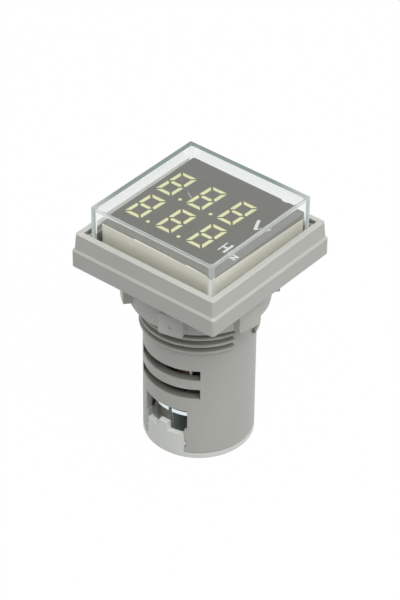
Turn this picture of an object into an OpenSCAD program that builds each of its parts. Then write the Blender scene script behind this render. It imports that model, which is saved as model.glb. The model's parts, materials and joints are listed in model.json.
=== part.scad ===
// Dual-row digital panel meter for a round 22 mm panel hole.
// Origin: centre of the barrel, on the underside of the bezel, which seats on the panel.
// +Z comes out of the display, +X is the display's right and +Y its top.

/* [Bezel] */
// Width of the square bezel where it meets the panel
bezel_w = 32; // [28.5:0.5:40]
// How far the upper band of the bezel is set in on each side
band_step = 0.5; // [0.2:0.1:1]
// Height of the wider lower band
lower_h = 3.6; // [2.8:0.1:4.5]
// Height of the slope between the two bands
slope_h = 0.35; // [0.2:0.05:0.8]
// Height of the whole bezel
bezel_h = 7.05; // [6.6:0.05:9]
// Thickness of the rim round the front cover
rim_t = 1.15; // [0.8:0.05:1.6]
// Depth of the rim above the ledge beside the front cover
ledge_depth = 0.75; // [0.3:0.05:1.2]
// Thickness of the bezel's floor
floor_t = 2; // [1.6:0.1:2.4]
// Radius of the bezel's corners
corner_r = 0.6; // [0.4:0.1:2]
// Bevel along the bezel's outer edges
edge_cut = 0.25; // [0.1:0.05:0.4]
// Width of the narrow slits in the ledge
slit_w = 0.25; // [0.15:0.05:0.3]
// Length of each slit in the ledge
slit_l = 3; // [1:0.5:5]
// Distance of each slit from the rim's inner corner
slit_inset = 1.1; // [0.6:0.1:2]

/* [Front cover] */
// Gap between the rim and the front cover
cover_gap = 0.8; // [0.5:0.05:1.2]
// Height of the cover's face above the panel
cover_top = 12.5; // [11.5:0.1:16]
// Thickness of the cover's walls and face
cover_t = 1.1; // [0.8:0.05:1.4]
// Radius of the cover's edges
cover_edge_r = 0.8; // [0.3:0.1:1]
// Length of the snap bead on each side of the cover
bead_l = 8; // [4:0.5:14]
// How far the snap bead stands out
bead_out = 0.3; // [0.15:0.05:0.4]

/* [Barrel] */
// Radius of the plain barrel
barrel_r = 10.2; // [9.9:0.05:10.4]
// Inner radius of the barrel beside the circuit boards
bore_r = 8.5; // [8.35:0.05:8.7]
// Inner radius of the wiring chamber at the rear
chamber_r = 8.95; // [8.85:0.05:9.1]
// Length of the barrel behind the panel face
barrel_l = 35.7; // [35:0.1:42]

/* [Thread] */
// Outer radius of the thread
thread_r = 10.9; // [10.7:0.05:11.2]
// Root radius of the thread
root_r = 9.98; // [9.7:0.02:10.1]
// Pitch of the thread
pitch = 1.5; // [1.3:0.1:1.6]
// Width of the flat crest of each thread turn
crest_w = 0.3; // [0.2:0.02:0.4]
// Distance from the panel face to the lowest crest
thread_end = 12.4; // [9:0.1:14]
// Length of the plain neck between the panel face and the thread
neck_l = 1.2; // [0.8:0.1:2]
// Width of the plain strip down each side of the thread
channel_w = 5.7; // [3:0.1:8]

/* [Vents and wire windows] */
// Width of the cooling slots
vent_w = 13.2; // [8:0.2:14]
// Height of each cooling slot
vent_h = 2.2; // [1:0.1:2.6]
// Distance from the panel face to the first slot
vent_z = 16.95; // [15.6:0.05:18]
// Distance from one slot to the next
vent_pitch = 4.15; // [3:0.05:4.6]
// Number of cooling slots on each side
vent_n = 2; // [1:1:2]
// Width of each wire window
window_w = 9.4; // [7:0.2:11]
// Height of each wire window above the slot for the rear cover's tab
window_h = 4.2; // [3.5:0.1:5]
// Distance from the barrel's rear edge to the top of the wire windows
window_up = 9.45; // [9.2:0.05:9.8]
// Width of the slot for the rear cover's tab
tab_slot_w = 8.5; // [6:0.1:9]

/* [Rear cover] */
// Overall length of the rear cover's closed end
cap_h = 1.35; // [1.1:0.05:2]
// Thickness of the rear cover's end wall
cap_t = 1; // [0.7:0.05:1]
// Seam between the barrel and the rear cover
cap_seam = 0.1; // [0.05:0.05:0.2]
// Gap on each side of the tab
tab_gap = 0.4; // [0.2:0.05:0.6]
// Thickness of each tab
tab_t = 1.1; // [0.8:0.05:1.3]
// Distance from the barrel's rear edge to the tab's shoulders
shoulder_h = 3.8; // [3:0.1:4.6]
// Height of the key between the two wires
key_h = 1.65; // [1:0.05:2.2]
// Width of the key between the two wires
key_w = 1.9; // [1.2:0.1:2.6]
// Radius of the screwdriver holes
driver_hole_r = 3.1; // [2.9:0.05:3.2]

/* [Lock nut] */
// Outer radius of the nut's ring
nut_r = 12.7; // [12:0.1:13.2]
// Outer radius over the nut's lugs
lug_r = 14.15; // [13.6:0.05:15.5]
// Width of each lug
lug_w = 4.7; // [3:0.1:6]
// Number of lugs
lug_n = 6; // [4:1:8]
// Direction of the first lug, in degrees from the display's lower edge
lug_turn = 17.9; // [0:0.1:60]
// Height of the nut
nut_h = 4.6; // [3:0.1:5]
// Room for the panel between the bezel and the nut
panel_room = 2.3; // [2.15:0.05:3]
// Running gap between the thread's crest and the nut
nut_gap = 0.05; // [0.03:0.01:0.1]
// Rounding along the lugs' outer edges
lug_round = 0.4; // [0.2:0.1:0.8]
// Rounding of the lugs' corners, seen from the side
lug_corner = 0.7; // [0.3:0.1:1]
// Thickness of the rubber sealing ring
seal_t = 1.2; // [0.8:0.1:1.5]
// Depth of the groove for the sealing ring
groove_t = 0.6; // [0.3:0.1:0.8]
// Outer radius of the sealing ring
seal_r = 13.2; // [12.6:0.1:13.4]

/* [Display] */
// Gap between the display and the cover's walls
case_gap = 0.15; // [0.1:0.05:0.3]
// Height of the display's face above the panel
face_z = 9.15; // [8.5:0.05:10.5]
// Thickness of the display's tinted film
film_t = 0.2; // [0.1:0.05:0.3]
// Thickness of the display case's walls and face
case_t = 1.1; // [0.8:0.05:1.5]
// Margin between the display's left side and the first digits
left_margin = 1.6; // [1:0.05:2.2]
// Width of the strip for the unit letters, right of the last digits
unit_strip = 5.9; // [5:0.05:6.4]
// Gap between neighbouring digits of a row
digit_gap = 3.5; // [3:0.05:3.8]
// Margin above and below the digits
row_margin = 4.75; // [4:0.05:5.2]
// Gap between the two rows of digits
row_gap = 2.2; // [1.8:0.05:3]
// Width of a segment
segment_t = 0.66; // [0.4:0.02:0.8]
// Gap between neighbouring segments
segment_gap = 0.16; // [0.1:0.02:0.24]
// Lean of the digits in degrees
digit_lean = 5.5; // [0:0.5:10]
// Radius of the decimal points
dot_r = 0.42; // [0.3:0.02:0.5]

/* [Boards] */
// Thickness of the circuit boards
board_t = 1.2; // [1:0.1:1.4]
// Height of the pads under the display board
pad_h = 0.5; // [0.3:0.05:0.8]
// Front face of the driver board, measured from the barrel's axis
driver_y = 0.5; // [0.3:0.05:0.8]
// Half the width of the driver board
driver_half_w = 7.9; // [7.4:0.05:8]

/* [Terminals] */
// Distance of each terminal screw from the barrel's axis
screw_x = 4.3; // [4.2:0.05:4.4]
// Radius of the terminal screws' shank
screw_r = 1.45; // [1.2:0.05:1.6]
// Length of the terminal screws' shank
screw_l = 4.2; // [3.6:0.1:4.4]
// Radius of the terminal screws' head
head_r = 2.75; // [2.3:0.05:2.8]
// Height of the terminal screws' head
head_h = 1.9; // [1.4:0.1:2]
// Thickness of the terminal plates
plate_t = 0.8; // [0.5:0.05:1]
// Side of the square clamping washers
clamp_w = 6; // [5:0.1:6.1]
// Thickness of the clamping washers
clamp_t = 0.9; // [0.6:0.05:1]
// Gap between the plates and the clamping washers
clamp_gap = 0.3; // [0.1:0.05:0.6]

/* [Hidden] */

$fn = 96;
eps = 0.01;        // overlap that lets one cut run cleanly into the next
soft_fn = 24;      // facets round a hulled edge
arc_n = 6;         // straight runs in a small drawn arc

// head
band_w = bezel_w - 2 * band_step;
band_z = lower_h + slope_h;
rim_in = band_w - 2 * rim_t;
cover_w = rim_in - 2 * cover_gap;
fit_gap = 0.1;     // clearance round parts that are pushed into the housing
pocket_w = cover_w + 2 * fit_gap;
ledge_z = bezel_h - ledge_depth;
seat_gap = 0.05;   // clearance under parts that are pushed home
seal_room = 0.2;   // room round the sealing ring
cover_z0 = floor_t + seat_gap;
bead_z = floor_t + 1.2;
bead_h = 0.6;
gate_r = 0.4;      // round mark left by the gate on one lug of the nut
gate_d = 0.15;
gate_low = 0.2;
slit_depth = 1.5;

// display stack, from the floor up
case_w = cover_w - 2 * cover_t - 2 * case_gap;
disp_z0 = floor_t + pad_h;
disp_z1 = disp_z0 + board_t;
case_top = face_z - film_t;
pad_w = 3;
pad_in = case_w / 2 - 0.2;   // outer side of the pads under the display board
film_inset = 0.25;
film_edge = case_w / 2 - film_inset;
nick_w = 0.9;
nick_d = 0.2;
nick_x = 7;
nick_y = -1;
chip_w = 0.6;
chip_h = 0.3;
digit_w = (case_w - left_margin - unit_strip - 2 * digit_gap) / 3;
digit_h = (case_w - 2 * row_margin - row_gap) / 2;
digit_pitch = digit_w + digit_gap;
row_pitch = digit_h + row_gap;
digit_x = left_margin + digit_w / 2 + digit_pitch - case_w / 2;
dot_out = digit_pitch / 2 - 0.1;   // from a digit's middle to its decimal point
nub_w = 0.7;       // flash left at the case's ejector marks
nub_h = 0.25;
nub_x = 5;
nub_in = 2;        // from the case's top right corner
case_r = 0.4;      // radius of the display's corners
pin_pitch = 2.54;
pin_n = 6;
pin_row = 5.08;
pin_r = 0.25;
pin_hole_r = 0.4;
pin_down = 1.2;
pin_up = 0.8;

// barrel
window_z = barrel_l - window_up;
chamber_z = window_z - 1.5;     // step that the terminal base seats on
strip_r = barrel_r - 0.02;
flank_w = (thread_r - root_r) * tan(30);
turn_half = crest_w / 2 + flank_w;
tube_z = thread_end + turn_half;
turns = floor((thread_end - turn_half - neck_l) / pitch) + 1;

// driver board
driver_back = driver_y + board_t;
driver_top = disp_z0 - seat_gap;
driver_bottom = chamber_z - seat_gap;   // distance below the panel face
link_n = 7;
link_pitch = 2;
link_w = 0.5;
link_hole_r = 0.42;
link_y = driver_y - 1.1;
link_z = 0.7;
link_out = 0.5;    // how far the pins stand out behind the driver board
strip_t = 1.2;
strip_d = 1.4;
strip_z = 1.2;

// terminals
base_gap = 0.1;
base_r = chamber_r - base_gap;
flange_t = 1.4;
flange_z = chamber_z + seat_gap;
hub_t = 1.5;
hub_r = 7.6;
plate_z = flange_z + flange_t + hub_t;
plate_r = chamber_r - 0.2;
divider_t = 0.5;   // partition between the terminals, a little right of the middle
divider_x = 0.5;
plate_gap = divider_t / 2 + 0.1;
screw_gap = 0.05;
screw_pocket_r = screw_r + 0.3;
tail_x0 = screw_x + screw_pocket_r + 0.3;
tail_x1 = driver_half_w - 0.1;
tail_t = 0.8;
tail_y0 = driver_y - seat_gap - tail_t;
tail_up = 6.6;
clamp_z = plate_z + plate_t + clamp_gap;
head_z = clamp_z + clamp_t + screw_gap;
screw_tip = head_z - screw_l;
cross_w = 0.8;
cross_l = 3.2;
cross_d = 1.1;

// rear cover
cap_z0 = barrel_l + cap_seam;
cap_z1 = cap_z0 + cap_h;
cap_in = cap_z1 - cap_t;
cap_bevel = 0.3;
spigot_gap = 0.4;
spigot_r = chamber_r - spigot_gap;
spigot_t = 0.95;
spigot_h = 1.55;
shoulder_z = barrel_l - shoulder_h;
tab_half = tab_slot_w / 2 - tab_gap;
bump_gap = 0.1;
bump_out = tab_gap - bump_gap;
bump_z = 1.9;      // from the barrel's rear edge up to the middle of the snap bumps
bump_h = 1;
notch_out = 0.25;
guide_t = 0.8;     // wall of the tubes that guide the screwdriver
guide_h = 2.4;
guide_cut = 0.2;
divider_z = cap_in - 0.3;
divider_half = spigot_r - spigot_t - 0.6;
divider_front = 8.2;
divider_step = cap_in - spigot_h - 0.25;

// ---- helpers ----

// points of a rectangle with corners of radius r, each corner an arc of n runs
function rounded_rect(w, h, r, n = arc_n) = [
    for (q = [0:3], i = [0:n])
        let (a = 90 * (q + i / n),
             sx = (q == 0 || q == 3) ? 1 : -1, sy = q < 2 ? 1 : -1)
        [sx * (w / 2 - r) + r * cos(a), sy * (h / 2 - r) + r * sin(a)]
];
function rounded_square(w, r) = rounded_rect(w, w, r);

module slab(w, r, z0, z1) {
    translate([0, 0, z0]) linear_extrude(z1 - z0) polygon(rounded_square(w, r));
}

// sloped band from a rounded square of side w0 up to one of side w1
module slope(w0, r0, z0, w1, z1) {
    translate([0, 0, z0]) linear_extrude(z1 - z0, scale = w1 / w0) polygon(rounded_square(w0, r0));
}

module square_hole(w, z0, z1) {
    translate([-w / 2, -w / 2, z0]) cube([w, w, z1 - z0]);
}

// a box given by its two corners
module box(lo, hi) {
    translate(lo) cube(hi - lo);
}

module both_y() {
    children();
    mirror([0, 1, 0]) children();
}

module both_x() {
    children();
    mirror([1, 0, 0]) children();
}

module quarter_turns() {
    for (q = [0:3]) rotate(90 * q) children();
}

// ---- housing: bezel and threaded barrel in one moulding ----

// outer form of the bezel, with its two bands
module bezel_block() {
    foot_w = bezel_w - 2 * edge_cut;
    band_r = corner_r * band_w / bezel_w;
    slope(foot_w, corner_r * foot_w / bezel_w, 0, bezel_w, edge_cut);
    slab(bezel_w, corner_r, edge_cut, lower_h);
    slope(bezel_w, corner_r, lower_h, band_w, band_z);
    slab(band_w, band_r, band_z, bezel_h - edge_cut);
    slope(band_w, band_r, bezel_h - edge_cut, band_w - 2 * edge_cut, bezel_h);
}

// section of one flat-crested thread turn, its crest at distance d behind the panel face
function turn_section(d) = [
    [root_r, -d + turn_half],
    [root_r - flank_w, -d],
    [root_r, -d - turn_half],
    [thread_r, -d - crest_w / 2],
    [thread_r, -d + crest_w / 2]
];

// room of the plain strips down both sides of the thread, g narrower at each edge
module plain_strips(g) {
    box([-thread_r - 1, -channel_w / 2 + g, -tube_z - 1], [thread_r + 1, channel_w / 2 - g, floor_t / 2]);
}

module barrel_form() {
    neck_h = tube_z + 1 + floor_t / 2;
    translate([0, 0, -barrel_l]) cylinder(r = barrel_r, h = barrel_l - tube_z);
    translate([0, 0, -tube_z - 1]) {
        cylinder(r = root_r, h = neck_h);
        intersection() {
            cylinder(r = strip_r, h = neck_h);
            translate([0, 0, tube_z + 1]) plain_strips(0);
        }
    }
    difference() {
        for (i = [0:turns - 1])
            rotate_extrude() polygon(turn_section(thread_end - i * pitch));
        plain_strips(eps);
    }
}

module vents() {
    for (i = [0:vent_n - 1])
        translate([-vent_w / 2, -barrel_r - 1, -vent_z - i * vent_pitch - vent_h])
            cube([vent_w, barrel_r + 1 - bore_r * cos(asin(vent_w / 2 / bore_r)) + 1, vent_h]);
}

// wire window above, slot for the rear cover's tab below, and notches for its snap bumps
module wire_window() {
    y0 = -barrel_r - 1;
    y1 = -chamber_r * cos(asin(window_w / 2 / chamber_r)) + 1;
    slot_half = tab_slot_w / 2;
    box([-window_w / 2, y0, -window_z - window_h], [window_w / 2, y1, -window_z]);
    box([-slot_half, y0, -barrel_l - 1], [slot_half, y1, -window_z - window_h + eps]);
    box([-slot_half - notch_out, y0, -barrel_l + bump_z - bump_h / 2 - tab_gap / 2],
        [slot_half + notch_out, y1, -barrel_l + bump_z + bump_h / 2 + tab_gap / 2]);
}

module housing() color([0.66, 0.67, 0.64]) {
    difference() {
        union() {
            difference() {
                bezel_block();
                // groove for the sealing ring, round the neck of the barrel
                translate([0, 0, -1]) cylinder(r = seal_r + seal_room, h = 1 + groove_t);
            }
            barrel_form();
        }
        square_hole(rim_in, ledge_z, bezel_h + 1);
        square_hole(pocket_w, floor_t, ledge_z + eps);
        translate([0, 0, -chamber_z]) cylinder(r = bore_r, h = chamber_z + floor_t + 1);
        translate([0, 0, -barrel_l - 1]) cylinder(r = chamber_r, h = barrel_l + 1 - chamber_z);
        both_y() {
            vents();
            wire_window();
        }
        quarter_turns() {
            // recess for the cover's snap bead
            box([-bead_l / 2 - fit_gap, pocket_w / 2 - 1, bead_z - fit_gap],
                [bead_l / 2 + fit_gap, cover_w / 2 + bead_out + fit_gap, bead_z + bead_h + fit_gap]);
            // slits at the ends of the ledge
            both_x() box([rim_in / 2 - slit_inset - slit_l, rim_in / 2 - slit_w, ledge_z - slit_depth],
                         [rim_in / 2 - slit_inset, rim_in / 2, ledge_z + eps]);
        }
    }
    // pads under the display board
    quarter_turns()
        box([pad_in - pad_w, pad_in - pad_w, floor_t - eps], [pad_in, pad_in, disp_z0]);
}

// ---- head ----

module soft_box(w, r, z0, z1) {
    hull() both_x() both_y() {
        translate([w / 2 - r, w / 2 - r, z0]) cylinder(r = r, h = eps, $fn = soft_fn);
        translate([w / 2 - r, w / 2 - r, z1 - r]) sphere(r = r, $fn = soft_fn);
    }
}

module front_cover() color([0.85, 0.9, 0.92, 0.35]) {
    difference() {
        union() {
            soft_box(cover_w, cover_edge_r, cover_z0, cover_top);
            quarter_turns()
                box([-bead_l / 2, cover_w / 2 - cover_t / 2, bead_z],
                    [bead_l / 2, cover_w / 2 + bead_out, bead_z + bead_h]);
        }
        square_hole(cover_w - 2 * cover_t, cover_z0 - 1, cover_top - cover_t);
    }
}

// lean of a point in a digit
function lean(q) = [q[0] + q[1] * tan(digit_lean), q[1]];

// outlines of the seven segments of a digit centred on the origin
function digit_outlines() =
    let (x = digit_w / 2, y = digit_h / 2, t = segment_t, g = segment_gap)
    let (
        bar = [[-x + g, y], [x - g, y], [x - g - t, y - t], [-x + g + t, y - t]],
        post = [[-x, y - g], [-x + t, y - g - t], [-x + t, t / 2 + g], [-x + t / 2, g], [-x, g]],
        middle = [[-x + t / 2 + g, 0], [-x + t + g, t / 2], [x - t - g, t / 2],
                  [x - t / 2 - g, 0], [x - t - g, -t / 2], [-x + t + g, -t / 2]]
    )
    [
        bar, [for (q = bar) [q[0], -q[1]]], middle,
        post, [for (q = post) [q[0], -q[1]]],
        [for (q = post) [-q[0], q[1]]], [for (q = post) [-q[0], -q[1]]]
    ];

// lays its child out at the middle of every digit
module each_digit() {
    for (row = [-1, 1], col = [-1:1])
        translate([digit_x + col * digit_pitch, row * row_pitch / 2, 0]) children();
}

// decimal points stand after the first and second digits
module each_dot() {
    for (row = [-1, 1], col = [-1:0])
        translate([digit_x + col * digit_pitch + dot_out, row * row_pitch / 2 - digit_h / 2, 0])
            children();
}

// every lit area of the display, grown by g and standing from z0 to z1
module lit_areas(z0, z1, g = 0) {
    each_digit() translate([0, 0, z0])
        for (outline = digit_outlines())
            let (c = [for (k = [0:1]) sum([for (q = outline) q[k]]) / len(outline)])
            linear_extrude(z1 - z0)
                polygon([for (q = outline) lean(q + g * unit(q - c))]);
    each_dot() translate([0, 0, z0]) cylinder(r = dot_r + g, h = z1 - z0, $fn = soft_fn);
}

function sum(v, i = 0) = i < len(v) ? v[i] + sum(v, i + 1) : 0;
function unit(v) = v / norm(v);

module display_case() color([0.74, 0.74, 0.67]) {
    // two nubs of flash on the edge, beside the film
    half = case_w / 2;
    box([nub_x, -half, case_top - eps], [nub_x + nub_w, -half + film_inset, case_top + nub_h]);
    box([half - film_inset, half - nub_in, case_top - eps],
        [half, half - nub_in + nub_w, case_top + nub_h]);
    difference() {
        slab(case_w, case_r, disp_z1 + eps, case_top);
        square_hole(case_w - 2 * case_t, disp_z1 - 1, case_top - case_t);
        lit_areas(case_top - case_t - 1, case_top + 1);
    }
}

module display_film() color([0.36, 0.36, 0.35]) {
    difference() {
        slab(case_w - 2 * film_inset, film_inset, case_top, face_z);
        lit_areas(case_top - 1, face_z + 1);
        // small nicks where the film was cut off its carrier
        box([nick_x, film_edge - nick_d, case_top - 1], [nick_x + nick_w, film_edge + 1, face_z + 1]);
        box([-film_edge - 1, nick_y, case_top - 1],
            [-film_edge + nick_d, nick_y + nick_w, face_z + 1]);
    }
}

module display_segments() color([0.87, 0.87, 0.62])
    lit_areas(case_top - case_t, face_z, -0.02);

module led_chips() color([0.95, 0.85, 0.3]) {
    each_digit()
        for (outline = digit_outlines())
            let (c = lean([for (k = [0:1]) sum([for (q = outline) q[k]]) / len(outline)]))
            translate([c[0] - chip_w / 2, c[1] - chip_w / 2, disp_z1])
                cube([chip_w, chip_w, chip_h]);
    each_dot() translate([-chip_w / 2, -chip_w / 2, disp_z1]) cube([chip_w, chip_w, chip_h]);
}

module each_display_pin() {
    both_y() for (i = [0:pin_n - 1])
        translate([(i - (pin_n - 1) / 2) * pin_pitch, pin_row, 0]) children();
}

module each_link() {
    for (i = [0:link_n - 1])
        translate([(i - (link_n - 1) / 2) * link_pitch, 0, 0]) children();
}

module display_board() color([0.13, 0.35, 0.2]) {
    difference() {
        slab(case_w, case_r, disp_z0, disp_z1);
        each_display_pin() translate([0, 0, disp_z0 - 1]) cylinder(r = pin_hole_r, h = board_t + 2);
        each_link() translate([0, link_y, disp_z0 - 1]) cylinder(r = link_hole_r, h = board_t + 2);
    }
}

module display_pins() color([0.8, 0.8, 0.78])
    each_display_pin() translate([0, 0, disp_z0 - pin_down])
        cylinder(r = pin_r, h = pin_down + board_t + pin_up);

// ---- driver electronics ----

module driver_board() color([0.13, 0.35, 0.2]) {
    difference() {
        box([-driver_half_w, driver_y, -driver_bottom], [driver_half_w, driver_back, driver_top]);
        each_link() translate([0, driver_y - 1, link_z]) rotate([-90, 0, 0])
            cylinder(r = link_hole_r, h = board_t + 2);
    }
}

module link_header() color([0.12, 0.12, 0.12]) {
    half = link_n * link_pitch / 2;
    difference() {
        box([-half, link_y - strip_d / 2, driver_top - strip_t], [half, driver_y - seat_gap, driver_top]);
        each_link() box([-link_w / 2 - fit_gap, link_y - link_w / 2 - fit_gap, driver_top - strip_t - 1],
                        [link_w / 2 + fit_gap, link_y + link_w / 2 + fit_gap, disp_z1]);
    }
}

module link_pins() color([0.8, 0.75, 0.5])
    each_link() {
        box([-link_w / 2, link_y - link_w / 2, link_z - link_w / 2],
            [link_w / 2, link_y + link_w / 2, disp_z1]);
        box([-link_w / 2, link_y - link_w / 2, link_z - link_w / 2],
            [link_w / 2, driver_back + link_out, link_z + link_w / 2]);
    }

// a part that stands on the front of the driver board: width, depth, and its lower and upper ends
module front_part(x0, x1, depth, z0, z1) {
    box([x0, driver_y - seat_gap - depth, z0], [x1, driver_y - seat_gap, z1]);
}

module back_part(x0, x1, depth, z0, z1) {
    box([x0, driver_back + seat_gap, z0], [x1, driver_back + seat_gap + depth, z1]);
}

// the fusible resistor lies across the lower end of the board, the film capacitor stands over it
fuse_r = 1.35;
fuse_z = fuse_r + 0.15 - driver_bottom;
dip_x0 = -0.6;
dip_w = 3.2;
dip_depth = 6.8;
dip_z0 = fuse_z + fuse_r + 0.25;
dip_h = 7.2;
dip_r = 0.7;
// dipped body, rounded all over
module film_capacitor() color([0.35, 0.16, 0.12])
    hull()
        for (x = [dip_x0 + dip_r, dip_x0 + dip_w - dip_r], z = [dip_z0 + dip_r, dip_z0 + dip_h - dip_r])
            for (y = [-seat_gap - dip_r, -seat_gap - dip_depth + dip_r])
                translate([x, driver_y + y, z]) sphere(r = dip_r, $fn = soft_fn);

can_r = 2.6;
can_l = 7;
can_x = -4.5;
can_z = -15.4;
bead_t = 1;        // from the end of the can to its rolled groove
roll_t = 0.5;      // width of the rolled groove
roll_d = 0.15;     // depth of the rolled groove
module filter_capacitor() color([0.15, 0.16, 0.2])
    translate([can_x, driver_y - seat_gap - can_r, can_z]) {
        cylinder(r = can_r, h = bead_t);
        translate([0, 0, bead_t]) cylinder(r = can_r - roll_d, h = roll_t);
        translate([0, 0, bead_t + roll_t]) cylinder(r = can_r, h = can_l - bead_t - roll_t);
    }

fuse_y = -5.8;
fuse_x0 = -3.4;
fuse_x1 = 2.2;
fuse_l = fuse_x1 - fuse_x0;
cap_l = 1.5;       // length of the resistor's end caps
lead_r = 0.3;
module fusible_resistor() color([0.3, 0.32, 0.3])
    translate([fuse_x0, fuse_y, fuse_z]) rotate([0, 90, 0]) {
        cylinder(r = fuse_r, h = cap_l);
        translate([0, 0, cap_l]) cylinder(r = fuse_r - roll_d, h = fuse_l - 2 * cap_l);
        translate([0, 0, fuse_l - cap_l]) cylinder(r = fuse_r, h = cap_l);
    }

lead_x = dip_x0 + dip_w + 0.45;
lead_z = -18.2;
module resistor_leads() color([0.85, 0.85, 0.85]) {
    y0 = fuse_y - lead_r;
    y1 = fuse_y + lead_r;
    z0 = fuse_z - lead_r;
    // right lead: out of the body, up beside the film capacitor and back into the board
    box([fuse_x1, y0, z0], [lead_x + lead_r, y1, z0 + 2 * lead_r]);
    box([lead_x - lead_r, y0, z0], [lead_x + lead_r, y1, lead_z]);
    box([lead_x - lead_r, y0, lead_z - 2 * lead_r], [lead_x + lead_r, driver_y - seat_gap, lead_z]);
    // left lead: straight back into the board
    box([fuse_x0 - 3 * lead_r, y0, z0], [fuse_x0, y1, z0 + 2 * lead_r]);
    box([fuse_x0 - 3 * lead_r, y0, z0], [fuse_x0 - lead_r, driver_y - seat_gap, z0 + 2 * lead_r]);
}

rect_w = 4.7;
rect_d = 2.4;
rect_h = 4;
rect_x = -4.55;
rect_z = -20.4;
leg_w = 0.5;
leg_t = 0.3;
leg_out = 0.8;
// four legs, bent down to the board beside the body
module bridge_rectifier() color([0.12, 0.12, 0.13]) {
    front_part(rect_x - rect_w / 2, rect_x + rect_w / 2, rect_d, rect_z, rect_z + rect_h);
    for (z = [rect_z + rect_h / 4, rect_z + 3 * rect_h / 4])
        front_part(rect_x - rect_w / 2 - leg_out, rect_x + rect_w / 2 + leg_out, leg_t,
                   z - leg_w / 2, z + leg_w / 2);
}

reg_w = 3.4;
reg_d = 1.6;
reg_h = 4.4;
reg_x = 5.6;
reg_z = -12.6;
module voltage_regulator() color([0.12, 0.12, 0.13]) {
    front_part(reg_x - reg_w / 2, reg_x + reg_w / 2, reg_d, reg_z, reg_z + reg_h);
    for (i = [-1:1])
        front_part(reg_x + i * reg_w / 3 - leg_w / 2, reg_x + i * reg_w / 3 + leg_w / 2, leg_t,
                   reg_z - leg_out, reg_z + leg_w);
}

chip_body_w = 4.4;
chip_body_h = 6.5;
chip_body_d = 1.5;
chip_z = -12.5;
chip_legs = 8;
chip_leg_pitch = 0.8;
module control_chip() color([0.1, 0.1, 0.11]) {
    back_part(-chip_body_w / 2, chip_body_w / 2, chip_body_d, chip_z, chip_z + chip_body_h);
    first = chip_z + chip_body_h / 2 - (chip_legs - 1) / 2 * chip_leg_pitch;
    both_x() for (i = [0:chip_legs - 1])
        back_part(chip_body_w / 2, chip_body_w / 2 + leg_out, leg_t,
                  first + i * chip_leg_pitch - leg_t / 2, first + i * chip_leg_pitch + leg_t / 2);
}

// a grid of small parts on the back of the driver board
module back_grid(xs, zs, w, h, d) {
    for (x = xs, z = zs) back_part(x - w / 2, x + w / 2, d, z - h / 2, z + h / 2);
}

resistor_xs = [-5.6, -3.2, 3.2, 5.6];
resistor_zs = [-15.5, -18, -20.5];
resistor_w = 1.2;
resistor_h = 0.7;
resistor_d = 0.45;
module chip_resistors() color([0.1, 0.1, 0.1])
    back_grid(resistor_xs, resistor_zs, resistor_w, resistor_h, resistor_d);

capacitor_xs = [-5.4, 5.4];
capacitor_zs = [-3, -6, -9];
capacitor_w = 1.8;
capacitor_h = 1.2;
capacitor_d = 0.8;
module chip_capacitors() color([0.7, 0.55, 0.35])
    back_grid(capacitor_xs, capacitor_zs, capacitor_w, capacitor_h, capacitor_d);

// ---- wiring chamber ----

module terminal_base() color([0.5, 0.54, 0.51]) {
    difference() {
        union() {
            translate([0, 0, -flange_z - flange_t]) cylinder(r = base_r, h = flange_t);
            translate([0, 0, -plate_z]) cylinder(r = hub_r, h = hub_t + eps);
            // the partition is wide above the rear cover's spigot and narrower inside it
            translate([divider_x, 0, 0]) {
                box([-divider_t / 2, -divider_front, -divider_step],
                    [divider_t / 2, divider_front, -plate_z + hub_t / 2]);
                box([-divider_t / 2, -divider_half, -divider_z],
                    [divider_t / 2, divider_half, -divider_step + eps]);
            }
        }
        both_x() {
            translate([screw_x, 0, -plate_z - 1])
                cylinder(r = screw_pocket_r, h = 1 + plate_z - screw_tip + 0.3);
            box([tail_x0 - fit_gap, tail_y0 - fit_gap, -plate_z - 1],
                [tail_x1 + fit_gap, tail_y0 + tail_t + fit_gap, -flange_z + 1]);
        }
    }
}

// one plate from the partition to the chamber's wall, with its tail up to the driver board
module terminal_plate(inner_x) {
    difference() {
        intersection() {
            translate([0, 0, -plate_z - plate_t]) cylinder(r = plate_r, h = plate_t);
            box([inner_x, -plate_r, -plate_z - plate_t - 1], [plate_r, plate_r, -plate_z + 1]);
        }
        translate([screw_x, 0, -plate_z - plate_t - 1])
            cylinder(r = screw_r + screw_gap, h = plate_t + 2);
    }
    box([tail_x0, tail_y0, -plate_z - eps], [tail_x1, tail_y0 + tail_t, -plate_z + tail_up]);
}

module terminal_plates() color([0.8, 0.84, 0.86]) {
    terminal_plate(divider_x + plate_gap);
    mirror([1, 0, 0]) terminal_plate(plate_gap - divider_x);
}

module clamp() color([0.78, 0.8, 0.8])
    difference() {
        box([screw_x - clamp_w / 2, -clamp_w / 2, -clamp_z - clamp_t],
            [screw_x + clamp_w / 2, clamp_w / 2, -clamp_z]);
        translate([screw_x, 0, -clamp_z - clamp_t - 1]) cylinder(r = screw_r + screw_gap, h = clamp_t + 2);
    }

module left_clamp() mirror([1, 0, 0]) clamp();
module right_clamp() clamp();

module terminal_screw() color([0.75, 0.76, 0.76])
    translate([screw_x, 0, -head_z])
        difference() {
            union() {
                cylinder(r = screw_r, h = screw_l);
                translate([0, 0, -head_h]) cylinder(r = head_r, h = head_h);
            }
            for (a = [0, 90]) rotate(a)
                box([-cross_l / 2, -cross_w / 2, -head_h - 1],
                    [cross_l / 2, cross_w / 2, -head_h + cross_d]);
        }

module left_screw() mirror([1, 0, 0]) terminal_screw();
module right_screw() terminal_screw();

// ---- fixing ----

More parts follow.
